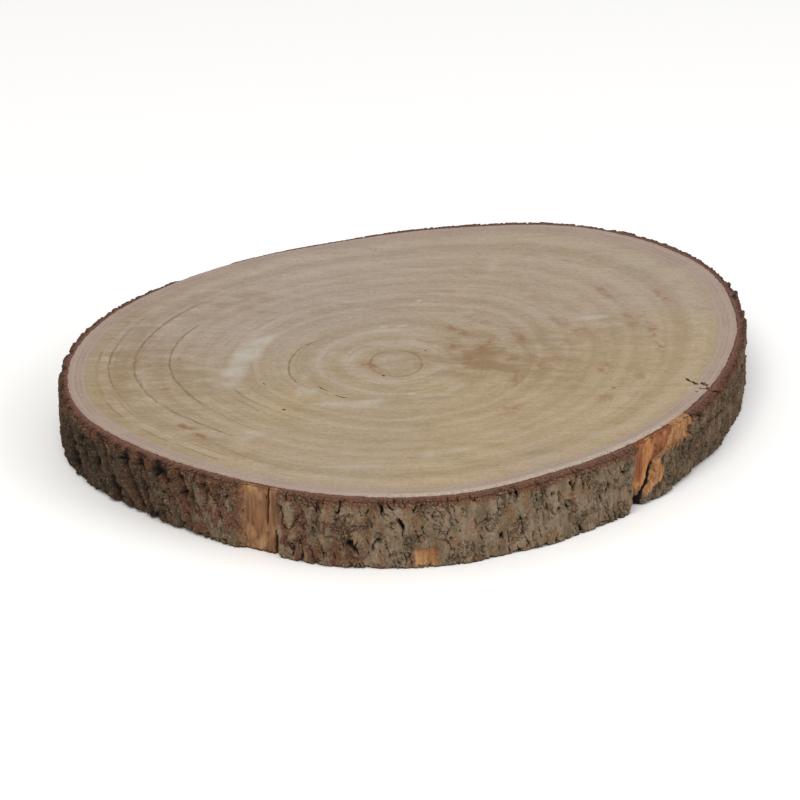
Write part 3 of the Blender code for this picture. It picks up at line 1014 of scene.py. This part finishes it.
def strip_relief(degrees, height):
    """Inner bark: low upright fibres with a few hairline cracks, and deep cracks where the outer
    bark still stands beside it, painted near black as shadow."""
    run = trunk_length(degrees) + 0.05 * height
    fibres = layers(run / 1.1, height / 26, SEED + 141, 3)
    folds = layers(run / 4.5, height / 40, SEED + 145, 2)
    bent = run / 5.0 + 0.2 * grain(run, height / 6, SEED + 148)
    hair = ramp(np.abs(grain(bent, height / 45, SEED + 149)), 0.035, 0.0)
    hair = hair * ramp(layers(run / 8, height / 9, SEED + 151, 2), -0.1, 0.2)
    wander = 0.10 * layers(height / 5, height * 0, SEED + 155, 3)
    # The deep cracks beside the outer bark: cut in, and painted near black as shadow.
    upper = hill(degrees, 247.1 + 0.012 * (height - 30) + wander, 0.12) * ramp(height, 17.0, 20.0)
    lower = hill(degrees, 248.6 + wander, 0.20) * ramp(height, 16.0, 13.0)
    right = ramp(right_edge(height) - degrees, 0.70, 0.30) * (degrees > 300)
    right = right * (1 - 0.75 * ramp(height, 17.0, 22.0))
    crack = np.clip(upper + lower + right, 0, 1)
    low = ramp(height + 2.5 * layers(run / 3, height / 5, SEED + 153, 2), 13.0, 8.5)
    return {
        "out": 0.22 * fibres + 0.40 * folds - 0.9 * hair - 2.4 * crack,
        "furrow": np.maximum(hair, crack),
        "soil": 0.9 * low * (degrees > 300),
        "sunk": chip(degrees, height),
    }


def strip_kept(share):
    return lambda degrees, height: np.full(np.shape(degrees), float(share))


def lower_strip_kept(degrees, height):
    """The wider strip thins out at its lower edge, where a crumb of wood went with it."""
    return 0.36 * (1 - chip(degrees, height) / CHIP_DEPTH)


# -------- build

wood_look = sawn_poplar()
bark_look = furrowed_bark()
front_strip_look = bare_inner_bark("bare_inner_bark_tan", "#5e3d28", "#86603f", "#a07a57")
right_strip_look = bare_inner_bark("bare_inner_bark_orange", "#6a371f", "#925835", "#ae794a")

make_sawn_wood(wood_look)
make_stretch(
    "bark_left", bark_look, (27, 28),
    ragged_end(BACK_GAP[1], 0.02, SEED + 161), ragged_end(FRONT_STRIP[0], 0.01, SEED + 162),
    whole, left_relief, ((lambda h: 9.0, 0.0), (lambda h: 9.0, 0.25)),
)
make_stretch(
    "bark_front", bark_look, (20, 25),
    ragged_end(FRONT_STRIP[1], -0.01, SEED + 163), ragged_end(RIGHT_STRIP, 0.04, SEED + 164, 0.2),
    front_kept, front_relief, ((lambda h: 2.0, 0.0), (lambda h: 2.0, 0.0)),
)
make_stretch(
    "bark_right", bark_look, (27, 28), right_edge, steady(MEETING),
    right_kept, right_relief, ((lambda h: 2.0 + 4.0 * ramp(h, 21.0, 15.0), 0.0), (None, 0.0)),
)
make_stretch(
    "bark_back", bark_look, (20, 26), steady(MEETING), ragged_end(360 + BACK_GAP[0], 0.02, SEED + 165),
    whole, bark_relief, ((None, 0.0), (lambda h: 6.0, 0.0)),
)
make_stretch(
    "inner_bark_strip_front", front_strip_look, (8, 10), ragged_end(242.4, 0.0, SEED + 166, 0.1),
    ragged_end(249.4, 0.0, SEED + 167, 0.1), strip_kept(0.42), strip_relief, ((None, 0.0), (None, 0.0)),
)
make_stretch(
    "inner_bark_strip_right", right_strip_look, (10, 12), steady(317.4), steady(334.0),
    lower_strip_kept, strip_relief, ((None, 0.0), (None, 0.0)),
)


# -------- camera, floor and light

EYE_DISTANCE = 1.8
EYE_RISE = math.radians(25.0)
LOOK_AT = Vector((-0.0055, -0.0293, 0.0200))

camera_data = bpy.data.cameras.new("camera")
camera_data.lens = 139.7
camera_data.sensor_width = 36.0
camera = bpy.data.objects.new("camera", camera_data)
bpy.context.collection.objects.link(camera)
camera.location = LOOK_AT + EYE_DISTANCE * Vector((0.0, -math.cos(EYE_RISE), math.sin(EYE_RISE)))
camera.rotation_euler = (math.pi / 2 - EYE_RISE, 0.0, 0.0)
bpy.context.scene.camera = camera

deselect()
bpy.ops.mesh.primitive_plane_add(size=30.0, location=(0.0, 0.0, node_low.z - 0.0002))
floor = bpy.context.object
floor.name = "floor"
floor_material = bpy.data.materials.new("pale_floor")
floor_material.use_nodes = True
floor_surface = floor_material.node_tree.nodes["Principled BSDF"]
floor_surface.inputs["Base Color"].default_value = linear("#f4f4f3")
floor_surface.inputs["Roughness"].default_value = 0.9
floor_surface.inputs["Specular IOR Level"].default_value = 0.1
floor.data.materials.append(floor_material)


def soft_light(name, location, aim, size, power, tint):
    data = bpy.data.lights.new(name, "AREA")
    data.shape = "SQUARE"
    data.size = size
    data.energy = power
    data.color = linear(tint)[:3]
    light = bpy.data.objects.new(name, data)
    bpy.context.collection.objects.link(light)
    light.location = location
    light.rotation_euler = (Vector(aim) - Vector(location)).to_track_quat("-Z", "Y").to_euler()


soft_light("key_light", (-0.5, -1.6, 2.4), (0, 0, 0), 1.6, 42.0, "#fffaf4")
soft_light("fill_light", (1.8, -0.8, 1.4), (0, 0, 0), 1.4, 14.0, "#f6f9ff")

world = bpy.data.worlds.new("studio")
world.use_nodes = True
world.node_tree.nodes["Background"].inputs["Color"].default_value = linear("#ffffff")
world.node_tree.nodes["Background"].inputs["Strength"].default_value = 0.75
bpy.context.scene.world = world
bpy.context.scene.view_settings.view_transform = "Standard"
